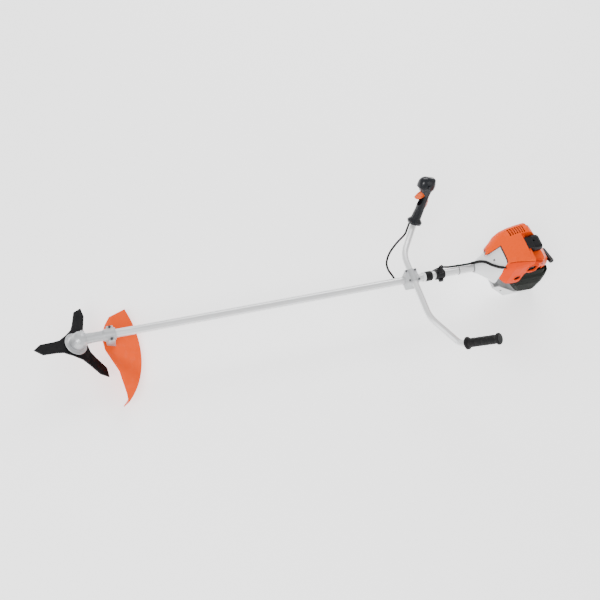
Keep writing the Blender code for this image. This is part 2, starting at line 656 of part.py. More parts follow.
def build_control_handle():
    dress(control_shell("control_handle_inner", -1), "black_plastic")
    dress(control_shell("control_handle_outer", 1), "black_plastic")

    def lever(name, pivot, outline, half_width):
        local = [(x - pivot[0], z - pivot[2]) for x, z in outline]
        return upright_plate(name, shifted(CONTROL, *pivot), local, -half_width, half_width)

    trigger = lever("throttle_trigger", TRIGGER_PIVOT, (
        (-6, 131), (-22, 131), (-31, 120), (-38, 106), (-37, 102), (-33, 101), (-25, 101), (-18, 104),
        (-10, 110), (-3, 119)), 5.6)
    dress(trigger, "orange_plastic")
    lockout = lever("trigger_lockout", LOCKOUT_PIVOT, (
        (8, 107), (14, 108.5), (19.5, 100), (19.8, 82), (17, 70), (14, 69), (13, 90), (7, 98)), 4.8)
    dress(lockout, "orange_plastic")
    button_frame = shifted(CONTROL, -10, -26, STOP_SWITCH_Z)
    button = rod("stop_switch", button_frame, (0, 0, 0), (0, 11, 0), 5.0)
    dress(button, "orange_plastic")


def cable_route():
    """The throttle cable: from the control handle, under the clamp, along the tube to the engine."""
    start = CONTROL @ (Vector((-20.0, 0.0, 3.5)) * MM)
    start = (MACHINE.inverted() @ start) / MM
    points = [start, (1215, 203, 20), (1197, 181, 13), (1158, 154, 12), (1116, 118, 12), (1089, 80, 12),
              (1084, 50, 11), (1093, 28, 4), (1105, 18, -11), (1121, 9, -21), (1148, 5, -23.5),
              (1175, 8, -22.5), (1192, 12, -20), (1208, 13, -19), (1230, 15, -17.5), (1248, 19, -14),
              (1262, 23, -7), (1276, 23.5, 1), (1290, 20, 10), (1306, 14, 15), (1344, 12, 15.5),
              (1382, 10, 18),
              (1402, 9, 21), (1420, 6, 28), (1431, 0, 35), (1442, -10, 41.5), (1450, -21, 44.5),
              (1460, -32, 47.5), (1472, -48, 57.5), (1482, -58, 67), (1493, -61, 72), (1502, -56, 74),
              (1509, -40, 77), (1511, -20, 80), (1512, 8, 80), (1514, 32, 70), (1519, 48, 63),
              (1529, 60, CARB_LEVER_PIVOT[2])]
    return smooth_route(points, 2)


def build_cable():
    dress(wire("throttle_cable", MACHINE, cable_route(), CABLE_RADIUS, resolution=1), "black_rubber")


def cable_passage():
    """A cutter that leaves the cable's clearance in the covers around it."""
    route = [place for place in cable_route() if 1405 < place.x < 1512]
    return wire("cable_passage", MACHINE, route, CABLE_RADIUS + 0.8)


# ---------------------------------------------------------------- engine

BELL_STATIONS = (
    (1408, -19, 19, -19, 19, 19), (1418, -23, 23, -23, 23, 23), (1440, -35, 35, -34, 36, 30),
    (1462, -48, 47, -44, 50, 36), (HOUSING_REAR, -62, 55, -54, 74, 36),
    (1502, -77, 62, -60, 102, 40))
COWL_STATIONS = (
    (1440, -35, 38, -34, 40, 30), (1460, -46, 54, -40, 58, 36), (HOUSING_REAR, -62.5, 66, -54.5, 84, 38),
    (1492, -71, 76, -60, 100, 40), (1512, -80, 82, -60, 118, 44), (1540, -82, 86, -60, 131, 48),
    (1568, -82, 88, -60, 136, 46), (1598, -80, 88, -58, 138, 40), (1612, -78, 84, -56, 128, 40),
    (1632, -74, 76, -54, 104, 40), (1654, -66, 66, -50, 80, 38), (1672, -56, 56, -44, 64, 36))
BELL_EDGE = ((1482, -200), (1482, -60), (1491, -52), (1491, 200))
SHOULDER = (1447.0, 17.0, 14.0)
SEAM_Y = -58.0
LEFT_SEAM = ((1440, 60), (1482, 78), (1492, 91), (1512, 107), (1540, 112), (1590, 110), (1612, 100),
             (1632, 84), (1654, 66), (1672, 50), (1700, 40))
RIGHT_SEAM = ((1430, 40), (1640, 40), (1700, 44))


def past_split(name, side):
    """A cutter for all that lies behind (side 1) or before (side -1) the bell's rear edge.

    The bell's panel reaches back between the covers; on the right the cover's shoulder comes
    forward over the bell.
    """
    near, far = -side * GAP / 2, side * 400.0
    outline = [*((x + near, y) for x, y in BELL_EDGE), (HOUSING_REAR + far, BELL_EDGE[-1][1]),
               (HOUSING_REAR + far, BELL_EDGE[0][1])]
    cutter = plate(name, MACHINE, outline, 400.0)
    x, y, z = SHOULDER
    step = side * GAP / 2
    shoulder = plate("shoulder", MACHINE, (
        (x - step, y - step), (x + 24 - step, y + 50), (x + 24 - step, 200), (1520, 200),
        (1520, y - step)), 200.0, lift=z - step + 100)
    return join(cutter, shoulder) if side > 0 else cut(cutter, shoulder)


def build_clutch_housing():
    """The bell between the tube and the engine."""
    bell = loft("clutch_housing", MACHINE, [section(station) for station in BELL_STATIONS])
    room = ((1453, -37.5, 37.5, -37, 39, 30), (1463, -45, 44, -41, 47, 33),
            (HOUSING_REAR, -59.5, 52.5, -51.5, 71.5, 33), (1504, -75, 60, -58, 100, 37))
    cavity = loft("cavity", MACHINE, [section(station) for station in room])
    tube_bore = rod("tube_bore", MACHINE, (1390, 0, 0), (TUBE_REAR + GAP, 0, 0),
                    TUBE_RADIUS + GAP, segments=24)
    hub_bore = rod("hub_bore", MACHINE, (TUBE_REAR, 0, 0), (1454, 0, 0), 9.6)
    rear = past_split("rear", 1)
    dress(cut(bell, cavity, tube_bore, hub_bore, cable_passage(), rear), "light_plastic")


def build_clutch():
    """The drum turns with the drive shaft, the two shoes turn with the crankshaft."""
    spin = along_x(MACHINE)
    drum = turned("clutch_drum", spin, (
        (32.5, 1478), (35, 1478), (35, 1459), (9, 1459), (9, 1449), (SHAFT_RADIUS + GAP, 1449),
        (SHAFT_RADIUS + GAP, 1461.5), (32.5, 1461.5)), ring=True)
    dress(drum, "dark_steel")
    for index, middle in enumerate((math.pi / 2, -math.pi / 2), start=1):
        angles = [middle + math.radians(step * 15) for step in range(-5, 6)]
        outline = [(30 * math.cos(a), 30 * math.sin(a)) for a in angles]
        outline += [(13.5 * math.cos(a), 13.5 * math.sin(a)) for a in reversed(angles)]
        shoe = plate(f"clutch_shoe_{index}", spin, outline, 11.0, lift=1470.0)
        dress(shoe, "dark_steel")


def build_flywheel():
    spin = along_x(MACHINE)
    disc = turned("flywheel", spin, (
        (7.9, 1500), (15, 1500), (15, 1493), (49, 1493), (51, 1492), (51, 1488), (49, 1487),
        (15, 1487), (15, 1485), (7.9, 1485)), ring=True)
    blades = 10
    for blade in range(blades):
        turn = spin @ Matrix.Rotation(blade * 2 * math.pi / blades, 4, "Z")
        disc = join(disc, box("blade", turn, (22, -1.2, 1492), (48.5, 1.2, 1502)))
    dress(disc, "cast_aluminium")


def build_crankcase():
    case = box("crankcase", MACHINE, (1506, -35, -35.5), (1600, 35, 36), bevel=4.0)
    chamber = rod("chamber", MACHINE, (1524, 0, 0), (1602, 0, 0), 29.0, segments=24)
    journal = rod("journal", MACHINE, (1500, 0, 0), (1526, 0, 0), 8.0)
    deck = rod("deck", MACHINE, (CYLINDER_X, 0, 10), (CYLINDER_X, 0, 40), BORE_RADIUS, segments=24)
    dress(cut(case, chamber, journal, deck), "cast_aluminium")


def build_crank_train():
    """Crankshaft, connecting rod and piston at top dead centre.

    The chain is open at the crank pin: the rod's foot is cut back to clear the pin's circle.
    """
    spin = along_x(MACHINE)
    front_shaft = turned("crankshaft", spin, (
        (0, 1533), (7.5, 1533), (7.5, 1480), (10, 1480), (10, 1463), (0, 1463)))
    front_web = rod("front_web", MACHINE, (1532, 0, 0), (1542, 0, 0), 26.0, segments=24)
    rear_web = rod("rear_web", MACHINE, (1558, 0, 0), (1568, 0, 0), 26.0, segments=24)
    pin = rod("pin", MACHINE, (1541, 0, CRANK_THROW), (1559, 0, CRANK_THROW), CRANK_PIN_RADIUS)
    rear_shaft = rod("rear_shaft", MACHINE, (1567, 0, 0), (1616, 0, 0), 7.5)
    dress(join(front_shaft, front_web, pin, rear_web, rear_shaft), "dark_steel")

    wrist = CRANK_THROW + ROD_LENGTH
    reach = CRANK_THROW + CRANK_PIN_RADIUS + 0.6
    low, high = CYLINDER_X - 4.5, CYLINDER_X + 4.5
    shank = box("connecting_rod", MACHINE, (low, -4, reach - 4), (high, 4, wrist - 5))
    small_end = rod("small_end", MACHINE, (low, 0, wrist), (high, 0, wrist), 8.0)
    foot = box("foot", MACHINE, (low, -9.5, reach - 6), (high, 9.5, reach + 7), bevel=1.0)
    wrist_bore = rod("wrist_bore", MACHINE, (low - 1, 0, wrist), (high + 1, 0, wrist), 4.4)
    sweep = rod("sweep", MACHINE, (low - 1, 0, 0), (high + 1, 0, 0), reach, segments=64)
    dress(cut(join(shank, small_end, foot), wrist_bore, sweep), "bright_steel")

    stand = shifted(MACHINE, CYLINDER_X, 0, 0)
    piston = turned("piston", stand, (
        (0, 94), (19.9, 94), (19.9, 60), (16.5, 60), (16.5, 86), (0, 86)), steps=24)
    wrist_pin = rod("wrist_pin", stand, (-18, 0, wrist), (18, 0, wrist), 4.0)
    dress(join(piston, wrist_pin), "bright_steel")


def build_cylinder():
    stand = shifted(MACHINE, CYLINDER_X, 0, 0)
    base, top = 36.0 + GAP, 114.0
    fins = 5
    pitch = 11.6
    profile = [(0, top), (28, top), (FIN_RADIUS, top - 2)]
    for fin in range(fins):
        high = top - 2 - fin * pitch
        profile += [(FIN_RADIUS, high - 2.4), (25, high - 3), (25, high - pitch + 0.6),
                    (FIN_RADIUS, high - pitch)]
    profile += [(FIN_RADIUS, base + 12), (27, base + 11), (27, base), (BORE_RADIUS, base),
                (BORE_RADIUS, 101), (0, 101)]
    cylinder = turned("cylinder", stand, profile, steps=20)
    plug_bore = rod("plug_bore", stand, (10, 0, 102), (40, 0, 102), 6.3)
    plug_room = rod("plug_room", stand, (27, 0, 102), (40, 0, 102), 11.5)
    intake = rod("intake", stand, (0, 10, 58), (0, 40, 58), 8.0)
    exhaust = rod("exhaust", stand, (0, -10, 60), (0, -40, 60), 8.0)
    dress(cut(cylinder, plug_bore, plug_room, intake, exhaust), "cast_aluminium")

    spin = along_x(shifted(MACHINE, CYLINDER_X, 0, 102))
    plug = turned("spark_plug", spin, (
        (0, 62), (3, 62), (3, 58), (4.5, 57), (5, 42), (9.5, 41), (9.5, 33), (8, 32), (8, 28),
        (6, 27.4), (6, 16), (2, 14), (0, 14)), steps=16)
    dress(plug, "white_ceramic")
    boot = box("spark_plug_boot", MACHINE, (1585.5, -34, 90 + GAP), (1636, 27, 125), bevel=13.0)
    brow = box("brow", MACHINE, (1567, -30, 118 + GAP), (1600, 18, 125), bevel=3.2)
    socket = turned("socket", spin, (
        (0, 66), (5.6, 66), (5.6, 42.5), (10.3, 42.5), (10.3, 30), (0, 30)))
    dimple = rod("dimple", MACHINE, (1604, -2, 119), (1604, -2, 130), 4.0)
    dress(cut(join(boot, brow), socket, dimple), "black_plastic")


def build_muffler():
    shell = box("muffler", MACHINE, (1526, -73, 46), (1604, -36, 86), bevel=7.0)
    room = box("room", MACHINE, (1529, -70, 49), (1601, -39, 83), bevel=5.0)
    outlet = rod("outlet", MACHINE, (1586, -76, 68), (1586, -60, 68), 6.0)
    inlet = rod("inlet", MACHINE, (CYLINDER_X, -45, 60), (CYLINDER_X, -30, 60), 8.0)
    dress(cut(shell, room, outlet, inlet), "bright_steel")


def build_carburettor():
    """Carburettor, throttle lever and air filter on the operator's right."""
    body = box("carburettor", MACHINE, (1538, 37, 18), (1570, 80, 58), bevel=3.0)
    neck = rod("neck", MACHINE, (1562, 79, 36), (1562, 87.1, 36), 13.0)
    throat = rod("throat", MACHINE, (1560, 30, 36), (1560, 90, 36), 8.0)
    dress(cut(join(body, neck), throat), "cast_aluminium")

    swivel = shifted(MACHINE, *CARB_LEVER_PIVOT)
    post = rod("throttle_lever", swivel, (0, 0, -2.0), (0, 0, 3.0), 4.0)
    arm = box("arm", swivel, (-13, -2.5, -1.2), (0, 2.5, 1.2))
    dress(join(post, arm), "bright_steel")

    cover = box("air_filter_cover", MACHINE, (1544, 87.4, -14), (1632, 104, 52), bevel=7.0)
    room = box("room", MACHINE, (1547, 80, -11), (1629, 101, 49), bevel=4.0)
    choke_bore = rod("choke_bore", MACHINE, (1612, 90, 30), (1612, 110, 30), 4.4)
    dress(cut(cover, room, choke_bore), "black_plastic")

    knob = shifted(MACHINE, 1612, 109, 30)
    stem = rod("choke_lever", knob, (0, -18, 0), (0, 0, 0), 4.0)
    grip = box("grip", knob, (-4, -4.4, -5), (4, 0, 16), bevel=1.5)
    dress(join(stem, grip), "black_plastic")


PRIMER_PLACE = (1650.0, 74.0, 32.0)


def build_primer():
    bulb = ball("primer_bulb", shifted(MACHINE, *PRIMER_PLACE), (0, 0, 0), (8, 7, 8),
                segments=16, rings=8)
    dress(bulb, "black_rubber")


FUEL_CAP = (1648.0, 78.0, -70.0)
TANK_WALL = 3.0


def build_tank():
    """A saddle: the tank's two lobes rise beside the crankcase to the covers' lower edge."""
    upward = MACHINE @ Matrix.Rotation(-math.pi / 2, 4, "Y")
    stations = (
        (-125, -62, 62, -1677, -1606, 18), (-119, -71, 71, -1690, -1597, 22),
        (-60, -76, 76, -1695, -1553, 24), (-16, -76, 76, -1693, -1517, 24),
        (4, -74, 74, -1690, -1506, 22))
    tank = loft("fuel_tank", upward, [section(station, corner_steps=3) for station in stations])
    room = [list(station) for station in stations]
    room[0][0] += TANK_WALL
    room[-1][0] -= TANK_WALL
    cavity = loft("cavity", upward,
                  [section(station, inset=TANK_WALL, corner_steps=3) for station in room])
    sunk = box("sunk", MACHINE, (1480, -44 - TANK_WALL, -40 - TANK_WALL),
               (1740, 44 + TANK_WALL, 20))
    cavity = cut(cavity, sunk)
    channel = box("channel", MACHINE, (1480, -44, -40), (1740, 44, 20))
    lobe = loft("lobe", upward, [section(station, corner_steps=3) for station in (
        (-4, -74, -47.5, -1672, -1512, 12), (31, -73.5, -48, -1664, -1522, 12),
        (32, -73.5, -48, -1628, -1523, 12), (42, -72, -50, -1624, -1530, 10))])
    x, y, z = FUEL_CAP
    neck = rod("neck", MACHINE, (x, 66, z), (x, y, z), 15.0)
    filler = rod("filler", MACHINE, (x, 60, z), (x, y + 5, z), 11.5)
    dress(cut(join(tank, lobe, neck), cavity, channel, filler), "tank_plastic")
    hub = shifted(MACHINE, x, y + GAP, z)
    rim = rod("fuel_cap", hub, (0, 0, 0), (0, 11, 0), 18.0, 17.0, segments=24)
    plug = rod("plug", hub, (0, -12, 0), (0, 1, 0), 10.8)
    bar = box("bar", hub, (-14, 10, -2.5), (14, 15, 2.5), bevel=1.0)
    dress(join(rim, plug, bar), "black_plastic")


def build_foot():
    """The light skid in front of and under the tank; its underside is the rest face."""
    low = -TUBE_HEIGHT
    front = HOUSING_REAR + GAP
    start, end = FOOT_X - FOOT_HALF_LENGTH, FOOT_X + FOOT_HALF_LENGTH
    outline = ((front, -62), (start, low), (end, low), (end, low + 10), (end - 22, low + 13),
               (1512, -63), (1500, -64), (1492, -62))
    foot = upright_plate("engine_foot", MACHINE, outline, -FOOT_HALF_WIDTH, FOOT_HALF_WIDTH)
    inside = FOOT_HALF_WIDTH - 4
    hollow = upright_plate("hollow", MACHINE, (
        (front + 10, -30), (front + 10, -64), (start + 4, low + 5), (end + 10, low + 5),
        (end + 10, 0)), -inside, inside)
    dress(cut(foot, hollow), "light_plastic")


def cowl_hem():
    """Cutters for the cover's lower edge: rising to the rear at the sides, low in the middle."""
    left = ((1430, -34), (1480, -34), (1480, 6), (1504, -12), (1530, -20), (1556, -20), (1564, -10),
            (1566, 34), (1570, 44), (1578, 40), (1586, 36), (1600, 36), (1608, 40), (1612, 54),
            (1630, 58), (1640, 36), (1700, 32), (1700, -90), (1430, -90))
    right = ((1430, -34), (1492, -34), (1514, -12), (1549, -15), (1553, 0), (1604, 8), (1650, 14),
             (1700, 20), (1700, -90), (1430, -90))
    return [upright_plate("left_hem", MACHINE, left, -120, -43),
            upright_plate("right_hem", MACHINE, right, 43, 120),
            box("middle_hem", MACHINE, (1430, -60, -90), (1700, 60, -34))]


def build_cowl():
    """The orange cover, split at its seam into the upper shroud and the starter housing."""
    def recess(name, grown):
        """The step behind the cylinder, where the plug's boot sits; grown thickens the cutter."""
        return upright_plate(name, MACHINE, (
            (1562 - grown, 170), (1563 - grown, 118 - grown), (1583 - grown, 118 - grown),
            (1584.5 - grown, 90 - grown), (1638, 90 - grown), (1672, 56 - grown), (1700, 56 - grown),
            (1700, 170)), -120, 30 + grown)

    def shell(name):
        outer = loft(name, MACHINE, [section(station) for station in COWL_STATIONS])
        inner = [list(station) for station in COWL_STATIONS]
        inner[0][0] -= 1.0
        inner[-1][0] -= COWL_WALL
        core = loft("core", MACHINE, [section(station, inset=COWL_WALL) for station in inner])
        cover = cut(outer, recess("step", 0.0))
        core = cut(core, recess("inner_step", COWL_WALL))
        plug_room = rod("plug_room", MACHINE, (1570, 0, 102), (1600, 0, 102), 12.0)
        carb_room = rod("carb_room", MACHINE, (1562, 70, 36), (1562, 95, 36), 14.5)
        return cut(cover, core, *cowl_hem(), past_split("front", -1), plug_room, carb_room,
                   cable_passage())

    def past_seam(name, side, seam, y_low, y_high):
        """A cutter for all that lies above (side 1) or below (side -1) a seam line."""
        edge = [(x, z - side * GAP / 2) for x, z in seam]
        outline = [*edge, (seam[-1][0], side * 200), (seam[0][0], side * 200)]
        return upright_plate(name, MACHINE, outline, y_low, y_high)

    upper = join(past_seam("upper_left", 1, LEFT_SEAM, -120, SEAM_Y),
                 past_seam("upper_right", 1, RIGHT_SEAM, SEAM_Y - GAP / 2, 120))
    lower = join(past_seam("lower_left", -1, LEFT_SEAM, -120, SEAM_Y + GAP / 2),
                 past_seam("lower_right", -1, RIGHT_SEAM, -120.5, 120))
    vents = [box("vent", MACHINE, (1525 + row * 8.6, 33, 80), (1530 + row * 8.6, 64, 170))
             for row in range(7)]
    dress(cut(shell("engine_shroud"), lower, *vents), "orange_plastic")

    housing = cut(shell("starter_housing"), upper)
    boss = rod("boss", MACHINE, (1622, 0, 0), (1671, 0, 0), 7.0)
    window = box("window", MACHINE, (1568, -95, 50), (1604, -68, 84), bevel=7.0)
    port = rod("port", MACHINE, (1546, -90, 14), (1546, -70, 14), 12.5)
    rope_bore = rod("rope_bore", MACHINE, (1650, ROPE_Y, ROPE_Z), (1680, ROPE_Y, ROPE_Z), 3.2)
    primer_bore = rod("primer_bore", MACHINE, (PRIMER_PLACE[0], 60, PRIMER_PLACE[2]),
                      (PRIMER_PLACE[0], 100, PRIMER_PLACE[2]), 8.6)
    slots = [box("slot", MACHINE, (1660, -34 + row * 8, -24), (1680, -30 + row * 8, 14))
             for row in range(4)]
    dress(cut(join(housing, boss), window, port, rope_bore, primer_bore, *slots), "orange_plastic")


def build_starter():
    spin = along_x(MACHINE)
    pulley = turned("starter_pulley", spin, (
        (7.6, 1636), (32, 1636), (32, 1634), (28, 1632), (28, 1626), (32, 1624), (32, 1622),
        (7.6, 1622)), steps=28, ring=True)
    dress(pulley, "black_plastic")
    hold = shifted(MACHINE, 1692, ROPE_Y, ROPE_Z)
    lean = hold @ Matrix.Rotation(math.radians(-15), 4, "X")
    bar = wire("starter_grip", lean, ((0, -33, 0), (0, -30, 0), (0, 30, 0), (0, 33, 0)), 9.0,
               resolution=4)
    neck = rod("neck", hold, (-12, 0, 0), (0, 0, 0), 4.5, 6.5)
    rope = rod("rope", hold, (-78, 0, 0), (-8, 0, 0), 1.7, segments=12)
    dress(join(bar, neck, rope), "black_plastic")


clear_scene()
PARTS = new_collection("brush_cutter")
CUTTERS = new_collection("cutters")
build_knife()
build_output_shaft()
build_gears()
build_gear_head()
build_deflector()
build_tube()
build_carrying_eyelet()
build_handle_clamp()
build_handlebar()
build_control_handle()
build_cable()
build_clutch_housing()
build_clutch()
build_flywheel()
build_crankcase()
build_crank_train()
build_cylinder()
build_muffler()
build_carburettor()
build_primer()
build_tank()
build_foot()
build_cowl()
build_starter()
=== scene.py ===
"""Studio picture of the brush cutter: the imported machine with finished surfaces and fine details.

Lengths are in metres in the row frame: +X runs back along the tube to the engine, +Y is the
operator's right, +Z is up and the floor is at 0. Places written in machine millimetres (from the
knife's centre on the tube axis) go through spot().
"""
import math

import bmesh
import bpy
from mathutils import Matrix, Vector


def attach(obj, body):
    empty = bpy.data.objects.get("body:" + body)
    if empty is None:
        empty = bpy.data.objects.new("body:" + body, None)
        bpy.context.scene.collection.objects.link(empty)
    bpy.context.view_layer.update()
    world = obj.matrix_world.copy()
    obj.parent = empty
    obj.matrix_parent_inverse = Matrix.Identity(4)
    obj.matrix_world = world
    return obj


MM = 0.001
FOOT_X = 1589.0
TUBE_HEIGHT = 141.0
TUBE_RADIUS = 14.0
ABOVE = 500.0
BESIDE = 400.0

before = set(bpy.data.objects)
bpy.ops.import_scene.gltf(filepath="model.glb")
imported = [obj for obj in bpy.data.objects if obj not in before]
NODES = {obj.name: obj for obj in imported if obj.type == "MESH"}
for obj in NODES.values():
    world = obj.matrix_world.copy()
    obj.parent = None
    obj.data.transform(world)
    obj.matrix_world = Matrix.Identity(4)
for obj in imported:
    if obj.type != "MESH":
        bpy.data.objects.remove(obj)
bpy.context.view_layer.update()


# ---------------------------------------------------------------- places

def spot(x, y, z):
    """A place in machine millimetres, as a point in the row frame."""
    return Vector((x - FOOT_X, y, z + TUBE_HEIGHT)) * MM


def touch(node, start, direction):
    """Where a ray meets a CAD node, and the surface's normal there."""
    hit, place, normal, _ = NODES[node].ray_cast(start, Vector(direction).normalized())
    if not hit:
        raise ValueError(f"the ray misses {node}")
    return place, normal


# ---------------------------------------------------------------- camera, light and floor

def build_camera():
    """Looks down on the machine from its left and front, at the angle of a catalogue picture."""
    eye = spot(-14.0, -1282.0, 2360.0)
    forward = Vector((0.27, 0.459, -0.846)).normalized()
    right = Vector((0.947, -0.285, 0.147))
    right = (right - forward * right.dot(forward)).normalized()
    up = right.cross(forward)
    data = bpy.data.cameras.new("camera")
    data.sensor_width = 36.0
    data.lens = 48.82
    data.clip_end = 60.0
    camera = bpy.data.objects.new("camera", data)
    turn = Matrix((right, up, -forward)).transposed().to_4x4()
    camera.matrix_world = Matrix.Translation(eye) @ turn
    bpy.context.scene.collection.objects.link(camera)
    bpy.context.scene.camera = camera


def area_light(name, place, target, size, power):
    """A soft rectangular lamp of that size in metres and power in watts, aimed at the target."""
    data = bpy.data.lights.new(name, "AREA")
    data.shape = "RECTANGLE"
    data.size, data.size_y = size
    data.energy = power
    light = bpy.data.objects.new(name, data)
    aim = (Vector(target) - Vector(place)).to_track_quat("-Z", "Y")
    light.matrix_world = Matrix.Translation(place) @ aim.to_matrix().to_4x4()
    bpy.context.scene.collection.objects.link(light)


def build_studio():
    """Three soft lamps, a white surrounding and a pale paper floor that glows faintly."""
    middle = (-0.8, 0.0, 0.1)
    area_light("key", (-3.2, -2.4, 3.6), middle, (2.0, 2.0), 190.0)
    area_light("fill", (1.9, -2.6, 2.6), middle, (2.4, 2.4), 26.0)
    area_light("rim", (0.4, 3.2, 2.8), middle, (3.0, 1.2), 120.0)
    world = bpy.data.worlds.new("studio")
    world.use_nodes = True
    backdrop = world.node_tree.nodes["Background"]
    backdrop.inputs["Color"].default_value = (1.0, 1.0, 1.0, 1.0)
    backdrop.inputs["Strength"].default_value = 0.75
    bpy.context.scene.world = world

    bm = bmesh.new()
    bmesh.ops.create_grid(bm, x_segments=1, y_segments=1, size=40.0)
    paper = surface("floor_paper", (0.90, 0.90, 0.90), 0.8, mottle=0.01, mottle_scale=3.0,
                    grain=0.05, grain_scale=900.0)
    glow = paper.node_tree.nodes["Principled BSDF"].inputs
    glow["Emission Color"].default_value = (1.0, 1.0, 1.0, 1.0)
    glow["Emission Strength"].default_value = 1.2
    mesh_piece("floor", bm, paper, smooth=False)


# ---------------------------------------------------------------- materials

class Shader:
    """A Principled material and the few node steps its textures share."""

    def __init__(self, name):
        self.material = bpy.data.materials.new(name)
        self.material.use_nodes = True
        self.tree = self.material.node_tree
        self.principled = self.tree.nodes["Principled BSDF"]
        self.place = self.node("ShaderNodeTexCoord").outputs["Object"]

    def node(self, kind, inputs=(), **settings):
        """A new node with its settings, and its inputs given as values or as other outputs."""
        node = self.tree.nodes.new(kind)
        for key, value in settings.items():
            setattr(node, key, value)
        for key, value in dict(inputs).items():
            self.feed(node.inputs[key], value)
        return node

    def feed(self, socket, value):
        if isinstance(value, bpy.types.NodeSocket):
            self.tree.links.new(value, socket)
        else:
            socket.default_value = value

    def stretched(self, stretch):
        return self.node("ShaderNodeMapping", {"Vector": self.place, "Scale": stretch}).outputs[0]

    def noise(self, scale, detail=3.0, stretch=(1.0, 1.0, 1.0)):
        return self.node("ShaderNodeTexNoise", {
            "Vector": self.stretched(stretch), "Scale": scale, "Detail": detail}).outputs[0]

    def ramp(self, value, low, high, to_low, to_high):
        """The value's span low..high, stretched to to_low..to_high and held beyond it."""
        return self.node("ShaderNodeMapRange", {
            "Value": value, "From Min": low, "From Max": high, "To Min": to_low,
            "To Max": to_high}).outputs[0]

    def mix(self, factor, first, second):
        node = self.node("ShaderNodeMix", data_type="RGBA")
        self.feed(node.inputs[0], factor)
        self.feed(node.inputs[6], first)
        self.feed(node.inputs[7], second)
        return node.outputs[2]

    def bump(self, height, distance):
        return self.node("ShaderNodeBump", {
            "Height": height, "Distance": distance, "Strength": 1.0}).outputs[0]

    def edges(self, radius):
        """1 on sharp outer edges and 0 on flat ground."""
        soft = self.node("ShaderNodeBevel", {"Radius": radius}, samples=4).outputs[0]
        hard = self.node("ShaderNodeNewGeometry").outputs["Normal"]
        facing = self.node("ShaderNodeVectorMath", operation="DOT_PRODUCT")
        self.feed(facing.inputs[0], soft)
        self.feed(facing.inputs[1], hard)
        return self.ramp(facing.outputs["Value"], 0.99, 0.86, 0.0, 1.0)


def tint(colour, factor):
    """The colour made lighter or darker, with full alpha."""
    return tuple(min(1.0, channel * factor) for channel in colour) + (1.0,)


def surface(name, colour, roughness, metallic=0.0, mottle=0.05, mottle_scale=25.0, grain=0.06,
            grain_scale=1400.0, stretch=(1.0, 1.0, 1.0), spread=0.06, coat=0.0, edge=None,
            edge_amount=0.5, dust=0.0, gleam=0.5):
    """Mottled colour, uneven gloss, a fine grain (its depth in mm), edges lightened partly as wear and
    partly as a painted highlight, and some dust.

    gleam is the strength of the plain surface's reflection; coat adds a lacquer over it.
    """
    shader = Shader(name)
    patches = shader.noise(mottle_scale, 4.0)
    colour_out = shader.mix(patches, tint(colour, 1.0 - mottle), tint(colour, 1.0 + mottle))
    if dust:
        specks = shader.ramp(shader.noise(60.0, 8.0), 0.52, 0.75, 0.0, dust)
        colour_out = shader.mix(specks, colour_out, (0.42, 0.39, 0.34, 1.0))
    # Sharp edges take the lighter edge colour in broken patches: partly wear, partly a painted
    # highlight along the edges.
    if edge is not None:
        edge_wear_and_highlight = shader.edges(0.9 * MM)
        broken = shader.ramp(shader.noise(240.0, 6.0), 0.35, 0.65, 0.2, edge_amount)
        amount = shader.node("ShaderNodeMath", {0: edge_wear_and_highlight, 1: broken}, operation="MULTIPLY")
        colour_out = shader.mix(amount.outputs[0], colour_out, (*edge, 1.0))
    principled = shader.principled
    shader.feed(principled.inputs["Base Color"], colour_out)
    gloss = shader.noise(grain_scale / 14.0, 5.0, stretch)
    shader.feed(principled.inputs["Roughness"],
                shader.ramp(gloss, 0.3, 0.7, roughness - spread, roughness + spread))
    principled.inputs["Metallic"].default_value = metallic
    principled.inputs["Specular IOR Level"].default_value = gleam
    principled.inputs["Coat Weight"].default_value = coat
    principled.inputs["Coat Roughness"].default_value = 0.15
    height = shader.noise(grain_scale, 3.0, stretch)
    shader.feed(principled.inputs["Normal"], shader.bump(height, grain * MM))
    return shader.material


ORANGE = (0.86, 0.075, 0.001)
LIGHT = (0.80, 0.81, 0.82)
BLACK = (0.007, 0.007, 0.008)
SILVER = (0.74, 0.745, 0.75)


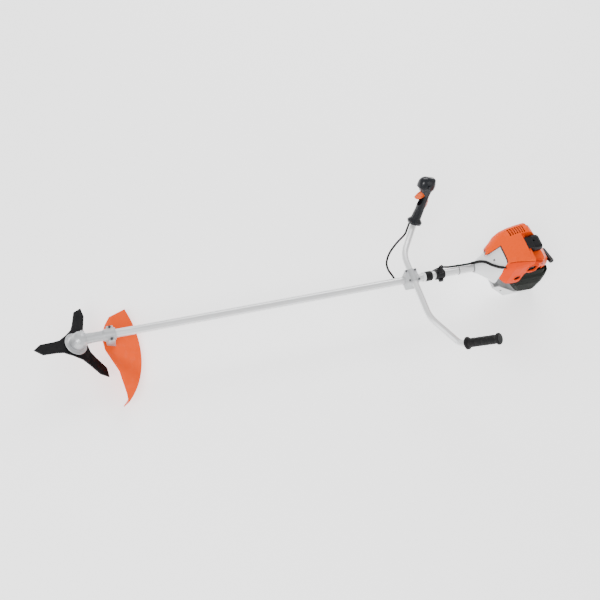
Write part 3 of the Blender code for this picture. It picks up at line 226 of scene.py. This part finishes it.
def build_materials():
    """Every surface of the machine, by the key that WEARERS uses."""
    return {
        "shroud": surface("shroud", ORANGE, 0.3, mottle=0.06, grain=0.04,
                          edge=(0.92, 0.24, 0.05), edge_amount=0.45, gleam=0.07),
        # The starter cover's orange is a darker, redder copy of the shroud's: painted shade on the
        # lower cover.
        "starter": surface("starter_cover", (0.74, 0.048, 0.001), 0.34, mottle=0.07, grain=0.05,
                           edge=(0.88, 0.20, 0.04), edge_amount=0.4, gleam=0.03),
        "deflector": surface("guard_plastic", ORANGE, 0.42, mottle=0.08, grain=0.12,
                             grain_scale=900.0, edge=(0.92, 0.28, 0.08), dust=0.06, gleam=0.07),
        "lever": surface("lever_plastic", (0.82, 0.10, 0.006), 0.3, mottle=0.03, grain=0.03,
                         coat=0.2, gleam=0.3),
        "housing": surface("housing", LIGHT, 0.4, mottle=0.03, grain=0.09, grain_scale=1100.0,
                           edge=(0.82, 0.83, 0.83), gleam=0.4),
        "black": surface("black_plastic", BLACK, 0.36, mottle=0.2, grain=0.07,
                         grain_scale=1300.0, edge=(0.05, 0.052, 0.058), gleam=0.2),
        "handle": surface("handle_plastic", (0.007, 0.008, 0.011), 0.28, mottle=0.15,
                          grain=0.03, coat=0.1, edge=(0.03, 0.033, 0.04), edge_amount=0.2, gleam=0.3),
        # The tank is coloured near black all over, which also fills the dark band just below the
        # covers' hem.
        "tank": surface("near_black_tank", (0.007, 0.009, 0.007), 0.3, mottle=0.25,
                        mottle_scale=14.0, grain=0.03, edge=(0.05, 0.055, 0.05), gleam=0.01),
        "rubber": surface("rubber", (0.007, 0.007, 0.0075), 0.55, mottle=0.25, grain=0.14,
                          grain_scale=1700.0, edge=(0.04, 0.04, 0.042), dust=0.05, gleam=0.15),
        "tube": surface("drawn_aluminium", SILVER, 0.36, 0.45, mottle=0.03, grain=0.015,
                        grain_scale=500.0, stretch=(0.05, 4.0, 4.0)),
        "bar": surface("polished_bar", SILVER, 0.4, 0.4, mottle=0.04, grain=0.012,
                       grain_scale=700.0),
        # The die-cast edges are painted far lighter than the grey: bright painted highlight outlines
        # as well as wear.
        "cast": surface("die_cast", (0.46, 0.47, 0.48), 0.38, 0.35, mottle=0.08, grain=0.16,
                        grain_scale=800.0, edge=(0.80, 0.81, 0.82), edge_amount=0.7),
        "knife": surface("knife_coat", (0.005, 0.005, 0.006), 0.38, mottle=0.3, grain=0.05,
                         grain_scale=900.0, edge=(0.22, 0.22, 0.23), edge_amount=0.9,
                         dust=0.02, gleam=0.12),
        "bright": surface("machined_steel", (0.50, 0.50, 0.51), 0.28, 0.95, mottle=0.05,
                          grain=0.03, grain_scale=700.0, stretch=(1.0, 1.0, 6.0)),
        "dark": surface("dark_steel", (0.10, 0.10, 0.105), 0.36, 0.9, mottle=0.1, grain=0.04,
                        edge=(0.4, 0.4, 0.41)),
        "ceramic": surface("ceramic", (0.82, 0.81, 0.77), 0.18, mottle=0.02, grain=0.01,
                           coat=0.6),
        # Deep black for the dark cover seam, and for the painted shade sheet under the vent slots.
        "bore": surface("deep_black", (0.004, 0.004, 0.004), 0.8, mottle=0.1, gleam=0.1),
    }


# Which CAD nodes wear which material
WEARERS = {
    "shroud": ("engine_shroud",),
    "starter": ("starter_housing",),
    "deflector": ("deflector",),
    "lever": ("throttle_trigger", "trigger_lockout"),
    "housing": ("clutch_housing", "engine_foot"),
    "black": ("carrying_eyelet", "spark_plug_boot", "air_filter_cover", "choke_lever",
              "fuel_cap", "starter_pulley", "starter_grip"),
    "handle": ("control_handle_inner", "control_handle_outer", "stop_switch"),
    "tank": ("fuel_tank",),
    "rubber": ("left_grip", "tube_sleeve", "throttle_cable", "primer_bulb", "shaft_bush_1",
               "shaft_bush_2"),
    "tube": ("drive_tube",),
    "bar": ("handlebar",),
    "cast": ("gear_head_housing", "handle_clamp_base", "handle_clamp_cap", "deflector_bracket",
             "thrust_plate", "cylinder", "crankcase", "carburettor", "flywheel"),
    "knife": ("brush_knife",),
    "bright": ("output_shaft", "knife_nut", "filler_screw", "output_bearing", "pinion_bearing",
               "connecting_rod", "piston", "throttle_lever"),
    "dark": ("rider_plate", "bevel_pinion", "bevel_gear", "head_clamp_screw_1",
             "head_clamp_screw_2", "drive_shaft", "handle_clamp_screw_1",
             "handle_clamp_screw_2", "handle_clamp_screw_3", "handle_clamp_screw_4",
             "clutch_drum", "clutch_shoe_1", "clutch_shoe_2", "crankshaft", "muffler"),
    "ceramic": ("spark_plug",),
}

# Width in mm of the rounding along the sharp edges of CAD nodes
SOFTENED = {
    "engine_shroud": 1.0, "starter_housing": 1.0, "clutch_housing": 0.8, "engine_foot": 1.2,
    "deflector": 0.9, "deflector_bracket": 0.8, "fuel_tank": 1.4, "throttle_trigger": 1.4,
    "trigger_lockout": 1.2,
    "handle_clamp_base": 0.6, "handle_clamp_cap": 0.5, "gear_head_housing": 0.5,
    "tube_sleeve": 0.4, "carrying_eyelet": 0.4, "starter_grip": 0.6, "brush_knife": 0.5,
    "fuel_cap": 0.8, "knife_nut": 0.6,
}


def dress_cad():
    """Gives each CAD node its material and the listed ones a small rounding."""
    for key, names in WEARERS.items():
        for name in names:
            for material_slot in NODES[name].material_slots:
                material_slot.material = MATERIALS[key]
    for name, width in SOFTENED.items():
        bevel = NODES[name].modifiers.new("soft_edges", "BEVEL")
        bevel.width = width * MM
        bevel.segments = 2
        bevel.limit_method = "ANGLE"
        bevel.angle_limit = math.radians(38)
        bevel.use_clamp_overlap = True


# ---------------------------------------------------------------- new pieces

def mesh_piece(name, bm, material, smooth=True):
    """An object in the scene made of the bmesh, which is used up."""
    mesh = bpy.data.meshes.new(name)
    bmesh.ops.recalc_face_normals(bm, faces=bm.faces)
    bm.to_mesh(mesh)
    bm.free()
    mesh.materials.append(material)
    piece = bpy.data.objects.new(name, mesh)
    bpy.context.scene.collection.objects.link(piece)
    if smooth:
        mesh.shade_smooth()
        mesh.set_sharp_from_angle(angle=math.radians(35))
    return piece


def tube_piece(name, routes, radius, material, cyclic=False, resolution=3):
    """Round bars along routes of points, as one curve object."""
    curve = bpy.data.curves.new(name, "CURVE")
    curve.dimensions = "3D"
    curve.bevel_depth = radius * MM
    curve.bevel_resolution = resolution
    curve.use_fill_caps = True
    for route in routes:
        spline = curve.splines.new("POLY")
        spline.points.add(len(route) - 1)
        spline.use_cyclic_u = cyclic
        for point, place in zip(spline.points, route):
            point.co = (*place, 1.0)
        spline.use_smooth = True
    curve.materials.append(material)
    piece = bpy.data.objects.new(name, curve)
    bpy.context.scene.collection.objects.link(piece)
    return piece


def circle(radius, steps):
    """Evenly spaced points (x, y) of a circle."""
    return [(radius * math.cos(2 * math.pi * i / steps), radius * math.sin(2 * math.pi * i / steps))
            for i in range(steps)]


def join_rings(bm, rings):
    """Skins each ring of vertices to the next one."""
    steps = len(rings[0])
    for first, second in zip(rings, rings[1:]):
        for i in range(steps):
            bm.faces.new((first[i], first[(i + 1) % steps], second[(i + 1) % steps], second[i]))


def ring_route(centre, axis, radius, steps=28):
    """Points of a circle of that radius in mm about an axis."""
    turn = Vector(axis).to_track_quat("Z", "Y")
    return [centre + turn @ Vector((x, y, 0.0)) * MM for x, y in circle(radius, steps)]


# Name, the CAD node it is seated on, where it is looked for from (mm), and in which direction
SCREWS = (
    ("panel_screw", "clutch_housing", (1466, -14, ABOVE), (0, 0, -1)),
    ("shroud_screw", "engine_shroud", (1604, 58, ABOVE), (0, 0, -1)),
    ("housing_screw_1", "starter_housing", (1626, -BESIDE, 76), (0, 1, 0)),
    ("foot_screw", "engine_foot", (1530, -BESIDE, -96), (0, 1, 0)),
    ("filter_screw", "air_filter_cover", (1588, BESIDE, 20), (0, -1, 0)),
    ("housing_screw_2", "starter_housing", (1654, BESIDE, 44), (0, -1, 0)),
)
SCREW_RADIUS = 3.4
SOCKET_DEPTH = 1.0


def build_screw(name, node, start, direction):
    """A pan head with a round socket, seated on a CAD surface."""
    place, normal = touch(node, start, direction)
    profile = ((SCREW_RADIUS + 0.5, -0.4), (SCREW_RADIUS + 0.4, 0.25), (SCREW_RADIUS, 0.5),
               (SCREW_RADIUS * 0.9, 1.2), (SCREW_RADIUS * 0.62, 1.55))
    bm = bmesh.new()
    rings = [[bm.verts.new(Vector((x, y, height)) * MM) for x, y in circle(reach, 24)]
             for reach, height in profile]
    join_rings(bm, rings)
    top = bm.faces.new(rings[-1])
    bm.faces.new(list(reversed(rings[0])))
    bmesh.ops.inset_region(bm, faces=[top], thickness=SCREW_RADIUS * 0.16 * MM)
    bmesh.ops.translate(bm, vec=Vector((0, 0, -SOCKET_DEPTH)) * MM, verts=top.verts)
    piece = mesh_piece(name, bm, MATERIALS["dark"])
    seat = Matrix.Translation(place) @ normal.to_track_quat("Z", "Y").to_matrix().to_4x4()
    piece.data.transform(seat)
    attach(piece, "machine")


def build_screws():
    for name, node, start, direction in SCREWS:
        build_screw(name, node, spot(*start), direction)


def under_shroud(x, y, depth):
    """A place below the shroud's outer surface, by its depth in mm."""
    place, normal = touch("engine_shroud", spot(x, y, ABOVE), (0, 0, -1))
    return place - normal * depth * MM


def build_vents():
    """Bars that part the shroud's slots into small windows, over a black sheet that paints the shade
    inside the slots.

    The places are on the shroud's walls between and beside the slots.
    """
    shade_sheet_x = (1520.0, 1532.0, 1549.0, 1566.4, 1586.0)
    shade_sheet_y = (31.5, 40.0, 48.0, 56.0, 66.0)
    # Painted shade: a deep black sheet just under the slots stands in for the shade inside them.
    bm = bmesh.new()
    columns = [[bm.verts.new(under_shroud(x, y, 2.8)) for y in shade_sheet_y] for x in shade_sheet_x]
    for first, second in zip(columns, columns[1:]):
        for i in range(len(shade_sheet_y) - 1):
            bm.faces.new((first[i], first[i + 1], second[i + 1], second[i]))
    shade_sheet = mesh_piece("vent_shade_sheet", bm, MATERIALS["bore"])
    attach(shade_sheet, "machine")

    solid_x = (1522.0, 1532.0, 1540.4, 1549.0, 1557.6, 1566.4, 1575.0, 1584.5)
    routes = [[under_shroud(x, y, 0.7) for x in solid_x] for y in (41.0, 48.5, 56.0)]
    ribs = tube_piece("vent_ribs", routes, 0.75, MATERIALS["shroud"], resolution=2)
    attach(ribs, "machine")


def build_cover_seam():
    """The dark joint line between the upper shroud and the starter housing, on both sides."""
    left = ((1486, 81), (1492, 89.5), (1512, 105.5), (1540, 110.5), (1580, 109), (1612, 98.5),
            (1632, 82.5), (1650, 67))
    right = ((1500, 39), (1560, 39), (1620, 39), (1655, 39))
    routes = []
    for side, line in ((-1, left), (1, right)):
        route = []
        for (x, z), (next_x, next_z) in zip(line, line[1:]):
            for step in range(5):
                share = step / 5
                start = spot(x + (next_x - x) * share, side * BESIDE, z + (next_z - z) * share)
                hit, place, normal, _ = NODES["starter_housing"].ray_cast(start, Vector((0, -side, 0)))
                if hit and place.y * side > 0:
                    route.append(place - normal * 0.35 * MM)
        routes.append(route)
    seam = tube_piece("cover_seam", routes, 0.9, MATERIALS["bore"], resolution=1)
    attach(seam, "machine")


def build_recess_rims():
    """Raised rims around the window and the round port on the left side."""
    port = ring_route(spot(1546, -81.2, 14), (0, 1, 0), 14.6)
    window = []
    corner_radius = 9.0
    corners = ((1597, 77), (1575, 77), (1575, 57), (1597, 57))
    for quarter, (x, z) in enumerate(corners):
        for step in range(6):
            angle = (quarter + step / 5) * math.pi / 2
            window.append(spot(x + corner_radius * math.cos(angle), -81.4,
                               z + corner_radius * math.sin(angle)))
    rims = tube_piece("recess_rims", [port, window], 2.6, MATERIALS["starter"], cyclic=True)
    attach(rims, "machine")


def build_sleeve_ring():
    """The pale collar on the tube in front of the soft sleeve, with a groove round its middle."""
    profile = ((1201.4, 14.8), (1201.4, 16.0), (1202.2, 16.7), (1205.4, 16.7), (1206.2, 16.2),
               (1207.0, 16.7), (1211.0, 16.7), (1211.8, 16.0), (1211.8, 14.8))
    bm = bmesh.new()
    rings = [[bm.verts.new(spot(x, y, z)) for y, z in circle(reach, 40)] for x, reach in profile]
    join_rings(bm, [*rings, rings[0]])
    ring = mesh_piece("sleeve_ring", bm, MATERIALS["housing"])
    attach(ring, "machine")


def soft_route(points, steps=6):
    """A soft curve through given points (Catmull-Rom)."""
    knots = [spot(*point) for point in points]
    padded = [knots[0] * 2 - knots[1]] + knots + [knots[-1] * 2 - knots[-2]]
    route = []
    for a, b, c, d in zip(padded, padded[1:], padded[2:], padded[3:]):
        for t in (step / steps for step in range(steps)):
            route.append(0.5 * (2 * b + (c - a) * t + (2 * a - 5 * b + 4 * c - d) * t ** 2
                                + (3 * b - a - 3 * c + d) * t ** 3))
    route.append(knots[-1])
    return route


def build_cable_sheath():
    """The cable's round rubber sheath: bare loops, thicker in the hose over the clutch housing."""
    loop = ((1221.9, 213.1, 36.3), (1215, 203, 20), (1197, 181, 13), (1158, 154, 12),
            (1116, 118, 12), (1089, 80, 12), (1084, 50, 11), (1093, 28, 4), (1105, 18, -11),
            (1121, 9, -21))
    along = ((1248, 19, -14), (1262, 23, -7), (1276, 23.5, 1), (1290, 20, 10), (1306, 14, 15),
             (1344, 12, 15.5), (1382, 10, 18), (1402, 9, 21))
    hose = ((1396, 9.3, 20.2), (1402, 9, 21), (1420, 6, 28), (1431, 0, 35), (1442, -10, 41.5),
            (1450, -21, 44.5), (1460, -32, 47.5), (1472, -48, 57.5), (1480, -57, 66))
    sheath = tube_piece("cable_sheath", [soft_route(loop), soft_route(along)], 3.8,
                        MATERIALS["rubber"], resolution=4)
    thick = tube_piece("cable_hose", [soft_route(hose)], 5.2, MATERIALS["rubber"], resolution=4)
    for piece in (sheath, thick):
        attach(piece, "machine")


def build_cable_fittings():
    """A grommet where the cable enters the covers, and straps that hold it to the tube."""
    mouth = ring_route(spot(1487.5, -59.5, 69.5), (0.8, -0.2, 0.4), 4.4)
    grommet = tube_piece("cable_grommet", [mouth], 1.3, MATERIALS["rubber"], cyclic=True)
    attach(grommet, "machine")
    straps = []
    round_tube, round_cable = TUBE_RADIUS + 0.9, 4.2
    for x, cable_y, cable_z in ((1345.0, 12.0, 15.5), (1404.0, 8.6, 22.0)):
        cable_centre = Vector((cable_y, cable_z))
        points = []
        for way in (Vector(point) for point in circle(1.0, 48)):
            place = way * round_tube
            if round_tube <= cable_centre.dot(way) + round_cable:
                place = cable_centre + way * round_cable
            points.append(spot(x, place.x, place.y))
        straps.append(points)
    clip = tube_piece("cable_clips", straps, 1.0, MATERIALS["black"], cyclic=True)
    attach(clip, "machine")


# Control handle: where it stands on the bar, and its own directions
HANDLE_FOOT = (1240.0, 209.0, 28.0)
HANDLE_BACK = Vector((0.956, -0.13, -0.264))
HANDLE_ACROSS = Vector((0.0, 0.897, -0.442))
HANDLE_UP = Vector((0.294, 0.422, 0.857))
CROWN_BACK, CROWN_ACROSS, CROWN_UP = 33.5, 23.4, 31.5
CROWN_SQUARENESS = 0.8
SWITCH_BORE_RADIUS = 5.5


def on_handle(back, across, up):
    """A place in mm from the handle's foot, along the handle's own directions."""
    return spot(*HANDLE_FOOT) + (HANDLE_UP * up + HANDLE_BACK * back + HANDLE_ACROSS * across) * MM


def crown_mesh():
    """The upper part of a rounded block, closed below by a flat face."""

    def swing(value):
        return math.copysign(abs(value) ** CROWN_SQUARENESS, value)

    bm = bmesh.new()
    rings = []
    for level in range(12):
        tilt = math.radians(-14.0 + 98.0 * level / 11)
        reach, height = swing(math.cos(tilt)), swing(math.sin(tilt))
        rings.append([
            bm.verts.new(on_handle(CROWN_BACK * reach * swing(x) - 11.0,
                                   CROWN_ACROSS * reach * swing(y), CROWN_UP * height + 157.0))
            for x, y in circle(1.0, 36)])
    join_rings(bm, rings)
    bm.faces.new(rings[-1])
    bm.faces.new(list(reversed(rings[0])))
    return bm


def build_handle_crown():
    """The smooth crown over the head of the control handle, bored for the stop switch."""
    bore = bmesh.new()
    bmesh.ops.create_cone(bore, cap_ends=True, segments=32, radius1=SWITCH_BORE_RADIUS * MM,
                          radius2=SWITCH_BORE_RADIUS * MM, depth=36.0 * MM)
    cutter = mesh_piece("switch_bore", bore, MATERIALS["handle"])
    aim = HANDLE_ACROSS.to_track_quat("Z", "Y").to_matrix().to_4x4()
    cutter.matrix_world = Matrix.Translation(on_handle(-10.0, -26.0, 158.0)) @ aim
    crown = mesh_piece("handle_crown", crown_mesh(), MATERIALS["handle"])
    bored = crown.modifiers.new("switch_bore", "BOOLEAN")
    bored.object = cutter
    bpy.context.view_layer.update()
    finished = crown.evaluated_get(bpy.context.evaluated_depsgraph_get())
    crown.data = bpy.data.meshes.new_from_object(finished)
    crown.modifiers.clear()
    bpy.data.objects.remove(cutter)
    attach(crown, "machine")


def build_grip_sleeve():
    """The soft cover over the starter's bar."""
    lean = math.radians(-15)
    reach = Vector((0.0, math.cos(lean), math.sin(lean))) * 30.0
    middle = Vector((1692.0, -22.0, 33.0))
    route = [spot(*(middle + reach * step)) for step in (-1.0, -0.93, 0.93, 1.0)]
    sleeve = tube_piece("grip_sleeve", [route], 9.8, MATERIALS["black"], resolution=5)
    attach(sleeve, "pull_grip")


MATERIALS = build_materials()
build_camera()
build_studio()
dress_cad()
build_screws()
build_vents()
build_cover_seam()
build_recess_rims()
build_sleeve_ring()
build_cable_sheath()
build_cable_fittings()
build_handle_crown()
build_grip_sleeve()
